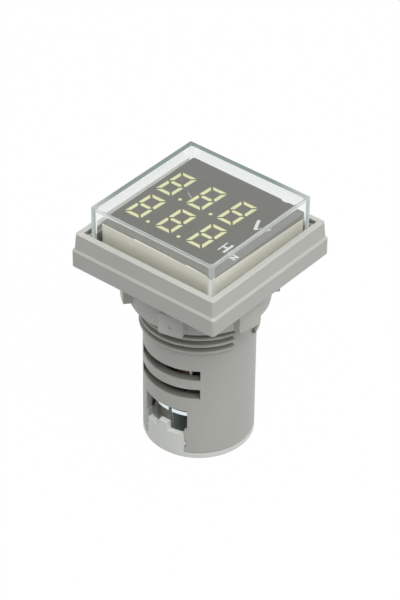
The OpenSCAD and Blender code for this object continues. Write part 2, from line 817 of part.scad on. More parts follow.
// half outline of the nut's outer envelope, its outer edges rounded
function nut_edge() = [
    [thread_r + nut_gap, -panel_room],
    [lug_r - lug_round, -panel_room],
    for (i = [1:arc_n])
        let (a = 90 - 90 * i / arc_n)
        [lug_r - lug_round + lug_round * cos(a), -panel_room - lug_round + lug_round * sin(a)],
    for (i = [0:arc_n])
        let (a = -90 * i / arc_n)
        [lug_r - lug_round + lug_round * cos(a),
         -panel_room - nut_h + lug_round + lug_round * sin(a)],
    [thread_r + nut_gap, -panel_room - nut_h]
];

module lock_nut() color([0.66, 0.67, 0.64])
    difference() {
        union() {
            translate([0, 0, -panel_room - nut_h]) cylinder(r = nut_r, h = nut_h);
            intersection() {
                rotate_extrude() polygon(nut_edge());
                for (i = [0:lug_n - 1]) rotate(lug_turn + i * 360 / lug_n)
                    translate([0, -thread_r - 1, -panel_room - nut_h / 2]) rotate([90, 0, 0])
                        linear_extrude(lug_r - thread_r)
                            polygon(rounded_rect(lug_w, nut_h, lug_corner));
            }
        }
        translate([0, 0, -panel_room - nut_h - 1]) cylinder(r = thread_r + nut_gap, h = nut_h + 2);
        // gate mark on the first lug
        rotate(lug_turn) translate([0, -lug_r + gate_d, -panel_room - nut_h / 2 - gate_low])
            rotate([90, 0, 0]) cylinder(r = gate_r, h = 1);
    }

module sealing_ring() color([0.12, 0.12, 0.12])
    translate([0, 0, -panel_room])
        difference() {
            cylinder(r = seal_r, h = seal_t);
            translate([0, 0, -1]) cylinder(r = thread_r + seal_room, h = seal_t + 2);
        }

// outline of a tab of the rear cover: shoulders, a key between the wires and snap bumps
function tab_outline() =
    let (half = [
        [tab_half, -cap_z0 - eps],
        [tab_half, -barrel_l + bump_z - bump_h / 2],
        [tab_half + bump_out, -barrel_l + bump_z - bump_h / 4],
        [tab_half + bump_out, -barrel_l + bump_z + bump_h / 4],
        [tab_half, -barrel_l + bump_z + bump_h / 2],
        [tab_half, -shoulder_z],
        [key_w / 2, -shoulder_z],
        [key_w / 2, -shoulder_z + key_h]
    ])
    concat(half, [for (i = [len(half) - 1:-1:0]) [-half[i][0], half[i][1]]]);

module rear_cover() color([0.82, 0.84, 0.8])
    difference() {
        union() {
            rotate_extrude() polygon([
                [0, -cap_z1], [barrel_r - cap_bevel, -cap_z1], [barrel_r, -cap_z1 + cap_bevel],
                [barrel_r, -cap_z0], [spigot_r, -cap_z0], [spigot_r, -cap_in + spigot_h],
                [spigot_r - spigot_t, -cap_in + spigot_h], [spigot_r - spigot_t, -cap_in], [0, -cap_in]
            ]);
            both_x() translate([screw_x, 0, -cap_in - eps]) {
                cylinder(r = driver_hole_r + guide_t, h = guide_h - guide_cut);
                cylinder(r = driver_hole_r + guide_t - guide_cut, h = guide_h);
            }
            intersection() {
                both_y() rotate([90, 0, 0]) linear_extrude(barrel_r + 1) polygon(tab_outline());
                difference() {
                    translate([0, 0, -cap_z1]) cylinder(r = barrel_r, h = cap_z1);
                    translate([0, 0, -cap_z1 - 1]) cylinder(r = barrel_r - tab_t, h = cap_z1 + 2);
                }
            }
        }
        both_x() translate([screw_x, 0, -cap_z1 - 1])
            cylinder(r = driver_hole_r, h = cap_t + guide_h + 2);
        // the guide tubes stand clear of the partition between the terminals
        translate([divider_x, 0, 0])
            box([-divider_t / 2 - fit_gap, -divider_half - fit_gap, -cap_in],
                [divider_t / 2 + fit_gap, divider_half + fit_gap, -cap_in + guide_h + 1]);
    }

housing();
front_cover();
display_case();
display_film();
display_segments();
led_chips();
display_board();
display_pins();
driver_board();
link_header();
link_pins();
film_capacitor();
filter_capacitor();
fusible_resistor();
resistor_leads();
bridge_rectifier();
voltage_regulator();
control_chip();
chip_resistors();
chip_capacitors();
terminal_base();
terminal_plates();
left_clamp();
right_clamp();
left_screw();
right_screw();
lock_nut();
sealing_ring();
rear_cover();
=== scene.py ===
# %% [markdown]
# # A panel meter under a clear cover
# The meter is built as a row of exact solids in a shared frame. This file dresses
# those solids: it softens edges, redraws the clear cover and the display in finer
# detail, and gives every part the finish of its own material. All is in metres.

# %% Load the frame
import json
import math

import bmesh
import bpy
from mathutils import Matrix, Vector


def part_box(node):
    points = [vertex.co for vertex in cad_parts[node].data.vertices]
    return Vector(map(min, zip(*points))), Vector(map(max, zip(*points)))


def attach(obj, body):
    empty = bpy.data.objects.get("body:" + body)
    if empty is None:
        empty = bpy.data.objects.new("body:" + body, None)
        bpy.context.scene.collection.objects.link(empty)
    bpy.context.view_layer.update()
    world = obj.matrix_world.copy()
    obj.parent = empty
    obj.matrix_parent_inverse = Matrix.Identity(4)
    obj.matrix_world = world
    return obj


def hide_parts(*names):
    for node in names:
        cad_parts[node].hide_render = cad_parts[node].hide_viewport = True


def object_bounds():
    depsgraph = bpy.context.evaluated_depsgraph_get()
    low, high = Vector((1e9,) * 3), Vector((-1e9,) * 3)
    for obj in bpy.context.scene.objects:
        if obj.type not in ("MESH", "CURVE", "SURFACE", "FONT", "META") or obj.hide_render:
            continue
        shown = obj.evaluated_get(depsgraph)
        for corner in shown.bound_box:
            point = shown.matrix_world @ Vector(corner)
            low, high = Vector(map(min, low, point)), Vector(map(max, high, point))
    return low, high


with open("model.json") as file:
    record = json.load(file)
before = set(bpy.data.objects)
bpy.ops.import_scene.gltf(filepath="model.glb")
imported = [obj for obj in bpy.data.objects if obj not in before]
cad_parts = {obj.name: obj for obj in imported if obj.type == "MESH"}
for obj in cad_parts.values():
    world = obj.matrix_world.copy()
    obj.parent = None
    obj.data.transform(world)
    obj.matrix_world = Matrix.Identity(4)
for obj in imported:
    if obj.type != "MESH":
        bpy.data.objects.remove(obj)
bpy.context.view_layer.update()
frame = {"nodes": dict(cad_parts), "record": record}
nodes = frame["nodes"]

# %% [markdown]
# ## The camera
# The meter is seen from in front of one corner and from above, through a long
# lens from less than half a metre. A long lens keeps the square bezel nearly free
# of perspective. The camera is given as a direction, a distance and a slight roll,
# and it aims near a point on the meter's axis, off it by two small steps across
# the view.

# %% Place the camera
MM = 0.001
AZIMUTH = math.radians(39.169)
ELEVATION = math.radians(37.125)
ROLL = math.radians(0.618)
DISTANCE = 0.461624
AIM_DEPTH = 10 * MM
AIM_RIGHT = 0.022 * MM
AIM_UP = 0.956 * MM
SENSOR = 36
FOCAL_SHARE = 2597.733 / 600  # focal length as a share of the picture's height

toward_camera = Vector((
    math.sin(AZIMUTH) * math.cos(ELEVATION),
    -math.cos(AZIMUTH) * math.cos(ELEVATION),
    math.sin(ELEVATION),
))
level_right = Vector((math.cos(AZIMUTH), math.sin(AZIMUTH), 0))
level_up = toward_camera.cross(level_right)
right = level_right * math.cos(ROLL) + level_up * math.sin(ROLL)
up = level_up * math.cos(ROLL) - level_right * math.sin(ROLL)
aim = Vector((0, 0, -AIM_DEPTH)) + right * AIM_RIGHT + up * AIM_UP

lens = bpy.data.cameras.new("camera")
lens.sensor_fit = "VERTICAL"
lens.sensor_height = SENSOR
lens.lens = SENSOR * FOCAL_SHARE
lens.clip_start = 0.01
camera = bpy.data.objects.new("camera", lens)
turn = Matrix((right, up, toward_camera)).transposed().to_4x4()
camera.matrix_world = Matrix.Translation(aim + toward_camera * DISTANCE) @ turn
bpy.context.collection.objects.link(camera)
bpy.context.scene.camera = camera
bpy.context.scene.view_settings.view_transform = "Standard"
print("camera at", [round(v, 4) for v in camera.matrix_world.translation])

# %% [markdown]
# ## Helpers for materials
# A material is a small graph of nodes. These helpers add a node, set its values
# and join it, so that each finish further down reads like a recipe.

# %% Helpers for nodes
def blank(name):
    """A material with an empty graph, its output and a Principled shader."""
    material = bpy.data.materials.new(name)
    material.use_nodes = True
    tree = material.node_tree
    tree.nodes.clear()
    out = tree.nodes.new("ShaderNodeOutputMaterial")
    shader = tree.nodes.new("ShaderNodeBsdfPrincipled")
    tree.links.new(shader.outputs[0], out.inputs["Surface"])
    return material, tree, shader, out


def node(tree, kind, **values):
    """A new node with its settings and its unlinked sockets filled in."""
    made = tree.nodes.new(kind)
    for key, value in values.items():
        if hasattr(made, key):
            setattr(made, key, value)
        else:
            made.inputs[key.replace("_", " ")].default_value = value
    return made


def srgb(red, green, blue, alpha=1):
    """A colour given as on a screen, 0 to 255, as Blender's linear values."""
    def linear(level):
        level = level / 255
        return level / 12.92 if level <= 0.04045 else ((level + 0.055) / 1.055) ** 2.4
    return (linear(red), linear(green), linear(blue), alpha)


def scaled(colour, factor):
    """The same hue, lighter or darker."""
    return tuple(min(1, level * factor) for level in colour[:3]) + (1,)


def reckon(tree, operation, first, second=0.0):
    """One math node; its inputs are sockets or plain numbers."""
    made = node(tree, "ShaderNodeMath", operation=operation)
    for socket, value in zip(made.inputs, (first, second)):
        if isinstance(value, bpy.types.NodeSocket):
            tree.links.new(value, socket)
        else:
            socket.default_value = value
    return made.outputs[0]


def ramp_between(tree, value, start, end):
    """0 at start and 1 at end, in a straight line between them."""
    made = node(tree, "ShaderNodeMapRange", From_Min=start, From_Max=end)
    tree.links.new(value, made.inputs["Value"])
    return made.outputs["Result"]


def mixed(tree, factor, first, second):
    """Two shaders in one: the first where the factor is 0, the second where it is 1."""
    made = node(tree, "ShaderNodeMixShader")
    for socket, source in zip(made.inputs, (factor, first, second)):
        tree.links.new(source, socket)
    return made.outputs[0]


def seen_rays(tree):
    """1 for a ray that shows a thing directly, in a gloss or through clear plastic."""
    path = node(tree, "ShaderNodeLightPath")
    total = path.outputs["Is Camera Ray"]
    for kind in ("Is Glossy Ray", "Is Transmission Ray"):
        total = reckon(tree, "MAXIMUM", total, path.outputs[kind])
    return total


def shader_of(material):
    """The Principled shader of a material made here."""
    return next(n for n in material.node_tree.nodes if n.type == "BSDF_PRINCIPLED")


def paint_glow(material, colour, strength):
    """Paints a faint glow into a material, standing in for light that has gone through thin plastic.
    """
    shader = shader_of(material)
    shader.inputs["Emission Color"].default_value = colour
    shader.inputs["Emission Strength"].default_value = strength


# %% [markdown]
# ## Floor and light
# A white sweep of paper, lit evenly, is how such a part is pictured in a catalogue.
# To rays that show it, the paper is nearly pure white. To all others it is a dull
# surface, so that it doesn't light the meter too strongly from below.

# %% Build the floor
floor_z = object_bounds()[0][2]
PAPER_REACH = 1.5
PAPER_ALBEDO = 0.2
PAPER_GLOW = 1.06
GLOW_SHARE = 0.93

paper_bm = bmesh.new()
bmesh.ops.create_grid(paper_bm, x_segments=1, y_segments=1, size=PAPER_REACH)
bmesh.ops.translate(paper_bm, verts=paper_bm.verts, vec=(0, 0, floor_z))
paper_mesh = bpy.data.meshes.new("paper")
paper_bm.to_mesh(paper_mesh)
paper_bm.free()
paper = bpy.data.objects.new("paper", paper_mesh)
bpy.context.collection.objects.link(paper)
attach(paper, "rear_cover")

paper_white, tree, shader, out = blank("paper_white")
shader.inputs["Base Color"].default_value = (PAPER_ALBEDO, PAPER_ALBEDO, PAPER_ALBEDO, 1)
shader.inputs["Roughness"].default_value = 0.9
shader.inputs["Specular IOR Level"].default_value = 0.1
glow = node(tree, "ShaderNodeEmission", Color=(1, 1, 1, 1), Strength=PAPER_GLOW)
share = reckon(tree, "MULTIPLY", seen_rays(tree), GLOW_SHARE)
surface = mixed(tree, share, shader.outputs[0], glow.outputs[0])
tree.links.new(surface, out.inputs["Surface"])
paper_mesh.materials.append(paper_white)
print("floor at", round(floor_z / MM, 2), "mm")

# %% [markdown]
# The sky is white. It lights the meter less from the camera's side than from
# behind, which gives the faces their different tones. Seen in a gloss or through
# the cover, it dims from the horizon up to a greyer ceiling. One soft lamp adds a
# direction.

# %% Light the set
SKY_LEVEL = 0.66
DIM_SIDE = 0.6
FADE_END = 0.55
CEILING = 0.4
KEY_POWER = 2.3
KEY_SIZE = 0.45
KEY_FROM = Vector((0.37, -0.2, 0.6))
KEY_DISTANCE = 0.6

world = bpy.data.worlds.new("studio")
bpy.context.scene.world = world
world.use_nodes = True
tree = world.node_tree
tree.nodes.clear()
out = node(tree, "ShaderNodeOutputWorld")
sky = node(tree, "ShaderNodeBackground", Color=(1, 1, 1, 1))
place = node(tree, "ShaderNodeTexCoord")
front = node(tree, "ShaderNodeVectorMath", operation="DOT_PRODUCT")
front.inputs[1].default_value = (math.sin(AZIMUTH), -math.cos(AZIMUTH), 0)
dimmed = node(tree, "ShaderNodeMapRange", To_Min=SKY_LEVEL, To_Max=SKY_LEVEL * (1 - DIM_SIDE))
split = node(tree, "ShaderNodeSeparateXYZ")
fade = node(tree, "ShaderNodeMapRange", From_Max=FADE_END, To_Min=1.0, To_Max=CEILING)
level = node(tree, "ShaderNodeMix", data_type="FLOAT")
tree.links.new(place.outputs["Generated"], front.inputs[0])
tree.links.new(front.outputs["Value"], dimmed.inputs["Value"])
tree.links.new(dimmed.outputs["Result"], level.inputs["A"])
tree.links.new(place.outputs["Generated"], split.inputs[0])
tree.links.new(split.outputs["Z"], fade.inputs["Value"])
tree.links.new(fade.outputs["Result"], level.inputs["B"])
tree.links.new(seen_rays(tree), level.inputs["Factor"])
tree.links.new(level.outputs["Result"], sky.inputs["Strength"])
tree.links.new(sky.outputs[0], out.inputs["Surface"])

key = bpy.data.lights.new("key", "AREA")
key.energy = KEY_POWER
key.size = KEY_SIZE
key_object = bpy.data.objects.new("key", key)
key_object.location = KEY_FROM.normalized() * KEY_DISTANCE
key_object.rotation_euler = KEY_FROM.to_track_quat("Z", "Y").to_euler()
bpy.context.collection.objects.link(key_object)
print("key light", [round(v, 3) for v in key_object.location])

# %% [markdown]
# ## Moulded plastic
# Moulded plastic takes a fine grain from the mould's spark-eroded steel. The colour
# stays even, with a very slight cloudiness, and the gloss varies a little more. The
# grain is a bump from fine noise; a second, larger noise drives colour and gloss.
# Some mouldings also get painted shade in their narrow gaps and grooves.

# %% A recipe for moulded plastic
DRIFT_SIZE = 9 * MM
GLOSS_DRIFT = 0.06
PIT_DEPTH = 0.02 * MM
# Painted shade in gaps: how far it looks for walls, and where it is full and gone.
PAINTED_SHADE_REACH = 2.0 * MM
PAINTED_SHADE_FULL, PAINTED_SHADE_GONE = 0.1, 0.72  # how open a place is, from 0 to 1


def moulded(name, colour, rough=0.45, grain=0.25, cloud=0.05, grain_mm=0.12, specular=0.5,
            painted_crevice_shade=None, edge_mm=0.0):
    """Plastic with mould grain; cloud is how far the colour drifts, as a share.

    The colour given for narrow gaps and grooves is painted shade, which they darken to;
    edge_mm is the radius of the slightly blunted edges.
    """
    material, tree, shader, out = blank(name)
    place = node(tree, "ShaderNodeTexCoord")
    drift = node(tree, "ShaderNodeTexNoise", Scale=1 / DRIFT_SIZE, Detail=3.0, Roughness=0.6)
    ramp = node(tree, "ShaderNodeMix", data_type="RGBA")
    ramp.inputs["A"].default_value = scaled(colour, 1 - cloud)
    ramp.inputs["B"].default_value = scaled(colour, 1 + cloud)
    gloss = node(tree, "ShaderNodeMapRange", To_Min=rough - GLOSS_DRIFT,
                 To_Max=rough + GLOSS_DRIFT)
    pits = node(tree, "ShaderNodeTexNoise", Scale=1 / (grain_mm * MM), Detail=2.0)
    bump = node(tree, "ShaderNodeBump", Strength=grain, Distance=PIT_DEPTH)
    tree.links.new(place.outputs["Object"], drift.inputs["Vector"])
    tree.links.new(place.outputs["Object"], pits.inputs["Vector"])
    tree.links.new(drift.outputs["Fac"], ramp.inputs["Factor"])
    tree.links.new(drift.outputs["Fac"], gloss.inputs["Value"])
    colour_out = ramp.outputs["Result"]
    # Painted shade: an occlusion test darkens gaps and grooves towards the given colour.
    if painted_crevice_shade:
        room = node(tree, "ShaderNodeAmbientOcclusion", samples=8, Distance=PAINTED_SHADE_REACH)
        tint = node(tree, "ShaderNodeMix", data_type="RGBA")
        tint.inputs["A"].default_value = painted_crevice_shade
        share = ramp_between(tree, room.outputs["AO"], PAINTED_SHADE_FULL, PAINTED_SHADE_GONE)
        tree.links.new(share, tint.inputs["Factor"])
        tree.links.new(colour_out, tint.inputs["B"])
        colour_out = tint.outputs["Result"]
    if edge_mm:
        blunt = node(tree, "ShaderNodeBevel", samples=4, Radius=edge_mm * MM)
        tree.links.new(blunt.outputs["Normal"], bump.inputs["Normal"])
    tree.links.new(colour_out, shader.inputs["Base Color"])
    tree.links.new(gloss.outputs["Result"], shader.inputs["Roughness"])
    tree.links.new(pits.outputs["Fac"], bump.inputs["Height"])
    tree.links.new(bump.outputs["Normal"], shader.inputs["Normal"])
    shader.inputs["Specular IOR Level"].default_value = specular
    return material


# %% [markdown]
# ## Painted shade in the deep places
# The thread's grooves and the sills of the slots lie below the barrel's skin, where
# shade falls, and that shade is painted into their colour. Its darkness follows from
# how far a point is from the barrel's axis: full at the bottom of a groove and gone at its crest.

# %% A helper for painted shade by place
GROOVE_DEPTH = 0.3 * MM
PAINTED_RECESS_SHADE = 0.8


def paint_shade_in_recesses(material, zones, colour):
    """Paints shade on what lies below the surface; zones are (z low, z high, radius, strip)."""
    tree = material.node_tree
    shader = shader_of(material)
    before = shader.inputs["Base Color"].links[0].from_socket
    place = node(tree, "ShaderNodeTexCoord")
    split = node(tree, "ShaderNodeSeparateXYZ")
    tree.links.new(place.outputs["Object"], split.inputs[0])
    x, y, z = split.outputs
    squares = reckon(tree, "ADD", reckon(tree, "MULTIPLY", x, x), reckon(tree, "MULTIPLY", y, y))
    reach = reckon(tree, "SQRT", squares)
    total = None
    for z_low, z_high, radius, strip in zones:
        above = reckon(tree, "GREATER_THAN", z, z_low)
        below = reckon(tree, "LESS_THAN", z, z_high)
        beside = reckon(tree, "GREATER_THAN", reckon(tree, "ABSOLUTE", y), strip)
        share = ramp_between(tree, reach, radius, radius - GROOVE_DEPTH)
        for inside in (above, below, beside):
            share = reckon(tree, "MULTIPLY", share, inside)
        total = share if total is None else reckon(tree, "MAXIMUM", total, share)
    total = reckon(tree, "MULTIPLY", total, PAINTED_RECESS_SHADE)
    tint = node(tree, "ShaderNodeMix", data_type="RGBA")
    tint.inputs["B"].default_value = colour
    tree.links.new(total, tint.inputs["Factor"])
    tree.links.new(before, tint.inputs["A"])
    tree.links.new(tint.outputs["Result"], shader.inputs["Base Color"])


# %% [markdown]
# ## Smooth copies of the visible mouldings
# The solids come as loose flat triangles. A copy of each visible moulding is merged
# into one skin, so that its curved faces can be shaded as curves while its edges
# stay sharp. The copy then stands for the solid.

# %% A helper that copies a solid
home_of = {n: body for body, names in frame["record"]["behaviour"]["bodies"].items() for n in names}


def smooth_copy(source, finish, sharp_degrees=35):
    """A merged copy of a CAD node that stands for it, with smooth curved faces."""
    bm = bmesh.new()
    bm.from_mesh(nodes[source].data)
    bmesh.ops.remove_doubles(bm, verts=bm.verts, dist=0.0005 * MM)
    mesh = bpy.data.meshes.new(source + "_skin")
    bm.to_mesh(mesh)
    bm.free()
    stored = mesh.attributes.get("custom_normal")
    if stored:
        mesh.attributes.remove(stored)
    mesh.shade_smooth()
    mesh.set_sharp_from_angle(angle=math.radians(sharp_degrees))
    mesh.materials.append(finish)
    piece = bpy.data.objects.new(source + "_skin", mesh)
    bpy.context.collection.objects.link(piece)
    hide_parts(source)
    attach(piece, home_of[source])
    return piece


# %% Grey mouldings
GREY = srgb(204, 205, 198)
# Each grey moulding has a second colour: painted shade for its gaps and grooves.
grey_plastic = moulded("grey_plastic", GREY, rough=0.42, painted_crevice_shade=srgb(108, 104, 96), edge_mm=0.1)
nut_plastic = moulded("nut_plastic", srgb(216, 217, 210), rough=0.42,
                      painted_crevice_shade=srgb(150, 146, 138), edge_mm=0.12)
housing = smooth_copy("housing", grey_plastic)
lock_nut = smooth_copy("lock_nut", nut_plastic)

# Soften the step round the bezel, and crisp the outer edge of its rim. Each level of
# the bezel that moves has its growth outwards and its rise in millimetres.
BEZEL_INSIDE = 14.8 * MM
LEVEL_REACH = 0.05 * MM
BEZEL_LEVELS = {3.95: (1.012, 0), 3.6: (1, -0.15), 6.8: (1, 0.15)}
for vert in housing.data.vertices:
    x, y, z = vert.co
    if max(abs(x), abs(y)) > BEZEL_INSIDE:
        for level_mm, (growth, rise) in BEZEL_LEVELS.items():
            if abs(z - level_mm * MM) < LEVEL_REACH:
                vert.co = (x * growth, y * growth, z + rise * MM)

# The thread has two plain strips, at small y, which get no painted shade.
CREST_FROM, CREST_TO = 10.7 * MM, 11 * MM
THREAD_TOP, THREAD_R, STRIP_HALF = -0.3 * MM, 10.85 * MM, 2.8 * MM
SILL_LOW, SILL_R = -25 * MM, 10.12 * MM
crest = [v.co.z for v in housing.data.vertices
         if CREST_FROM < math.hypot(v.co.x, v.co.y) < CREST_TO and v.co.z < -MM]
thread_end = min(crest) - 0.1 * MM
thread_zone = (thread_end, THREAD_TOP, THREAD_R, STRIP_HALF)
sill_zone = (SILL_LOW, thread_end, SILL_R, 0)
# Painted shade: the thread's grooves and the slots' sills darken towards this colour.
paint_shade_in_recesses(grey_plastic, [thread_zone, sill_zone], srgb(124, 120, 111))
print("thread ends at", round(thread_end / MM, 2), "mm")

PALE = srgb(247, 251, 244)
# The pale cover's second colour is painted shade for its gaps and grooves.
pale_plastic = moulded("pale_plastic", PALE, rough=0.38, painted_crevice_shade=srgb(190, 193, 186),
                       edge_mm=0.12)
# Painted glow: the pale cover glows faintly, though no lamp is inside it.
paint_glow(pale_plastic, PALE, 0.02)
rear_cover = smooth_copy("rear_cover", pale_plastic)

# Widen the two tabs by moving their sides along the barrel's circle. The solids' tabs
# clear the housing. The widened ones touch its slots: their snap bumps by 0.02 mm at
# rest, and by up to 0.15 mm over the first 2 mm of the cover's travel.
TAB_FROM, TAB_TO = 3.8 * MM, 4.2 * MM
TAB_OUT = 7 * MM
TAB_LOW = -35.9 * MM
TAB_GROWTH = 0.37 * MM
for vert in rear_cover.data.vertices:
    x, y, z = vert.co
    if TAB_FROM < abs(x) < TAB_TO and abs(y) > TAB_OUT and z > TAB_LOW:
        reach = math.hypot(x, y)
        x += math.copysign(TAB_GROWTH, x)
        vert.co = (x, math.copysign(math.sqrt(reach ** 2 - x ** 2), y), z)

rubber = moulded("rubber", srgb(38, 38, 38), rough=0.7)
sealing_ring = smooth_copy("sealing_ring", rubber)
print("skins", [len(p.data.polygons) for p in (housing, lock_nut, rear_cover, sealing_ring)])

# %% [markdown]
# ## The clear cover
# The cover is a box of clear acrylic, open underneath. Light bends where it enters
# and leaves each wall, so the walls need their true thickness: an outer box and an
# inner box, joined along the open edge. All the edges are rounded, the outer ones
# and the inner ones by different amounts, and they make the bright and dark lines.

# %% Make the clear cover
COVER_HALF = 13.56 * MM
COVER_WALL = 0.75 * MM
OUTER_SIDE_R, OUTER_TOP_R = 0.45 * MM, 0.3 * MM
INNER_SIDE_R, INNER_TOP_R = 0.5 * MM, 0.15 * MM
SHELL_STEPS = 6
FLAT_AREA = 40 * MM * MM
cover_low, cover_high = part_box("front_cover")


def round_edges(bm, edges, radius, steps, clamp=False):
    """Rounds edges to a radius, in a number of flat steps."""
    bmesh.ops.bevel(bm, geom=edges, offset=radius, offset_type="OFFSET", segments=steps,
                    profile=0.5, affect="EDGES", material=-1, clamp_overlap=clamp)


def upright_edges(bm):
    """The edges of a box that run up."""
    return [e for e in bm.edges if abs(e.verts[0].co.z - e.verts[1].co.z) > MM]


def edges_at(bm, z):
    """The edges that lie at one height."""
    return [e for e in bm.edges if all(abs(v.co.z - z) < 0.01 * MM for v in e.verts)]


def rounded_shell(half, z0, z1, side_r, top_r):
    """The skin of a box with rounded upright and top edges, open underneath."""
    bm = bmesh.new()
    bmesh.ops.create_cube(bm, size=1)
    bmesh.ops.scale(bm, verts=bm.verts, vec=(2 * half, 2 * half, z1 - z0))
    bmesh.ops.translate(bm, verts=bm.verts, vec=(0, 0, (z0 + z1) / 2))
    bottom = [f for f in bm.faces if f.normal.z < -0.9]
    bmesh.ops.delete(bm, geom=bottom, context="FACES_ONLY")
    round_edges(bm, upright_edges(bm), side_r, SHELL_STEPS)
    round_edges(bm, edges_at(bm, z1), top_r, SHELL_STEPS, clamp=True)
    return bm


outer = rounded_shell(COVER_HALF, cover_low.z, cover_high.z, OUTER_SIDE_R, OUTER_TOP_R)
inner = rounded_shell(COVER_HALF - COVER_WALL, cover_low.z, cover_high.z - COVER_WALL,
                      INNER_SIDE_R, INNER_TOP_R)
bmesh.ops.reverse_faces(inner, faces=inner.faces)
cover_mesh = bpy.data.meshes.new("clear_cover")
inner.to_mesh(cover_mesh)
outer.from_mesh(cover_mesh)
rims = [e for e in outer.edges if e.is_boundary]
bmesh.ops.bridge_loops(outer, edges=rims)
bmesh.ops.remove_doubles(outer, verts=outer.verts, dist=0.0001 * MM)
bmesh.ops.recalc_face_normals(outer, faces=outer.faces)
print("open edges of the cover", sum(1 for e in outer.edges if not e.is_manifold),
      "volume mm3", round(outer.calc_volume(signed=True) / MM ** 3, 1))
outer.to_mesh(cover_mesh)
outer.free()
inner.free()
for face in cover_mesh.polygons:
    face.use_smooth = face.area < FLAT_AREA

# %% [markdown]
# Light that has bounced between the walls a few times is taken as caught. In its
# place a glow of even tint is painted, darker at the far corner than at the near one.
# The rounded edges on the near side get a thin painted highlight. Rays that only
# light other things pass through.

# %% Make the acrylic
# The painted glow of caught light, at the far corner and at the near one.
FAR_PAINTED_GLOW = srgb(140, 154, 151)
NEAR_PAINTED_GLOW = srgb(188, 194, 191)
FAR_FROM, FAR_TO = 3 * MM, 9 * MM
TRAPPED_AFTER = 2.5
# Painted highlight on the near rounded edges: its share, and where it lies.
HIGHLIGHT_SHARE = 0.38
SIDE_HIGHLIGHT_FROM, SIDE_HIGHLIGHT_TO = COVER_HALF - 1.0 * MM, COVER_HALF - 0.5 * MM
RIM_HIGHLIGHT_FROM, RIM_HIGHLIGHT_TO = 0.5 * MM, 0.3 * MM  # in from the cover's outside
clear_acrylic, tree, shader, out = blank("clear_acrylic")
shader.inputs["Base Color"].default_value = (0.985, 1.0, 0.995, 1)
shader.inputs["Roughness"].default_value = 0.015
shader.inputs["IOR"].default_value = 1.49
shader.inputs["Transmission Weight"].default_value = 1.0
clear = node(tree, "ShaderNodeBsdfTransparent", Color=(0.96, 0.97, 0.97, 1))
path = node(tree, "ShaderNodeLightPath")
place = node(tree, "ShaderNodeTexCoord")
split = node(tree, "ShaderNodeSeparateXYZ")
tree.links.new(place.outputs["Object"], split.inputs[0])
across, along, height = split.outputs

# The painted glow's tint goes by how far a point is towards the far corner.
far_side = ramp_between(tree, reckon(tree, "SUBTRACT", along, across), FAR_FROM, FAR_TO)
tint = node(tree, "ShaderNodeMix", data_type="RGBA")
tint.inputs["A"].default_value = NEAR_PAINTED_GLOW
tint.inputs["B"].default_value = FAR_PAINTED_GLOW
# The glow painted in place of light caught between the walls.
painted_glow = node(tree, "ShaderNodeEmission", Strength=1.0)
tree.links.new(far_side, tint.inputs["Factor"])
tree.links.new(tint.outputs["Result"], painted_glow.inputs["Color"])
trapped = reckon(tree, "GREATER_THAN", path.outputs["Glossy Depth"], TRAPPED_AFTER)
deep = mixed(tree, trapped, shader.outputs[0], painted_glow.outputs[0])

# The painted highlight lies where two walls meet, and along the rim of the face.
across, along = reckon(tree, "ABSOLUTE", across), reckon(tree, "ABSOLUTE", along)
inner_most = reckon(tree, "MINIMUM", across, along)
outer_most = reckon(tree, "MAXIMUM", across, along)
upright_highlight = ramp_between(tree, inner_most, SIDE_HIGHLIGHT_FROM, SIDE_HIGHLIGHT_TO)
wall_highlight = ramp_between(tree, outer_most, COVER_HALF - RIM_HIGHLIGHT_FROM,
                         COVER_HALF - RIM_HIGHLIGHT_TO)
face_highlight = ramp_between(tree, height, cover_high.z - RIM_HIGHLIGHT_FROM,
                         cover_high.z - RIM_HIGHLIGHT_TO)
rim_highlight = reckon(tree, "MULTIPLY", wall_highlight, face_highlight)
near_side = reckon(tree, "SUBTRACT", 1.0, far_side)
painted_highlight = reckon(tree, "MULTIPLY", reckon(tree, "MAXIMUM", upright_highlight, rim_highlight), near_side)
painted_highlight = reckon(tree, "MULTIPLY", painted_highlight, HIGHLIGHT_SHARE)
# The colour of the painted highlight.
highlight_glow = node(tree, "ShaderNodeEmission", Color=srgb(206, 212, 213), Strength=1.0)
highlighted = mixed(tree, painted_highlight, deep, highlight_glow.outputs[0])

passes = reckon(tree, "MAXIMUM", path.outputs["Is Shadow Ray"], path.outputs["Is Diffuse Ray"])
surface = mixed(tree, passes, highlighted, clear.outputs[0])
tree.links.new(surface, out.inputs["Surface"])
cover_mesh.materials.append(clear_acrylic)

clear_cover = bpy.data.objects.new("clear_cover", cover_mesh)
bpy.context.collection.objects.link(clear_cover)
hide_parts("front_cover")
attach(clear_cover, "root")

# %% [markdown]
# ## The display unit
# The display is a cream box that sits a little off the middle of the cover, with a
# dark tinted film glued over its face. The film was cut by hand, so its outline is
# not quite square and has a nick or two. A box with beveled edges makes the case.
# The film is a thin sheet just below the level of the lit segments, so that the
# segments come through it, and its outline is traced corner by corner. On the right
# its edge hangs down over the case, more at the back than at the front.

# %% Make the display case
RAISED = 0.25 * MM
CASE_LOW = Vector((-12.05, -12.1)) * MM
CASE_HIGH = Vector((12.5, 12.7)) * MM
CASE_SIDE_R, CASE_TOP_R = 0.5 * MM, 0.12 * MM
case_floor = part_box("display_case")[0].z
case_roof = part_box("display_film")[0].z + RAISED


def closed_piece(name, bm, material, body="root"):
    """Turns a bmesh into a piece with outward faces that rides on a body."""
    bmesh.ops.recalc_face_normals(bm, faces=bm.faces)
    mesh = bpy.data.meshes.new(name)
    bm.to_mesh(mesh)
    bm.free()
    mesh.materials.append(material)
    piece = bpy.data.objects.new(name, mesh)
    bpy.context.collection.objects.link(piece)
    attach(piece, body)
    return piece


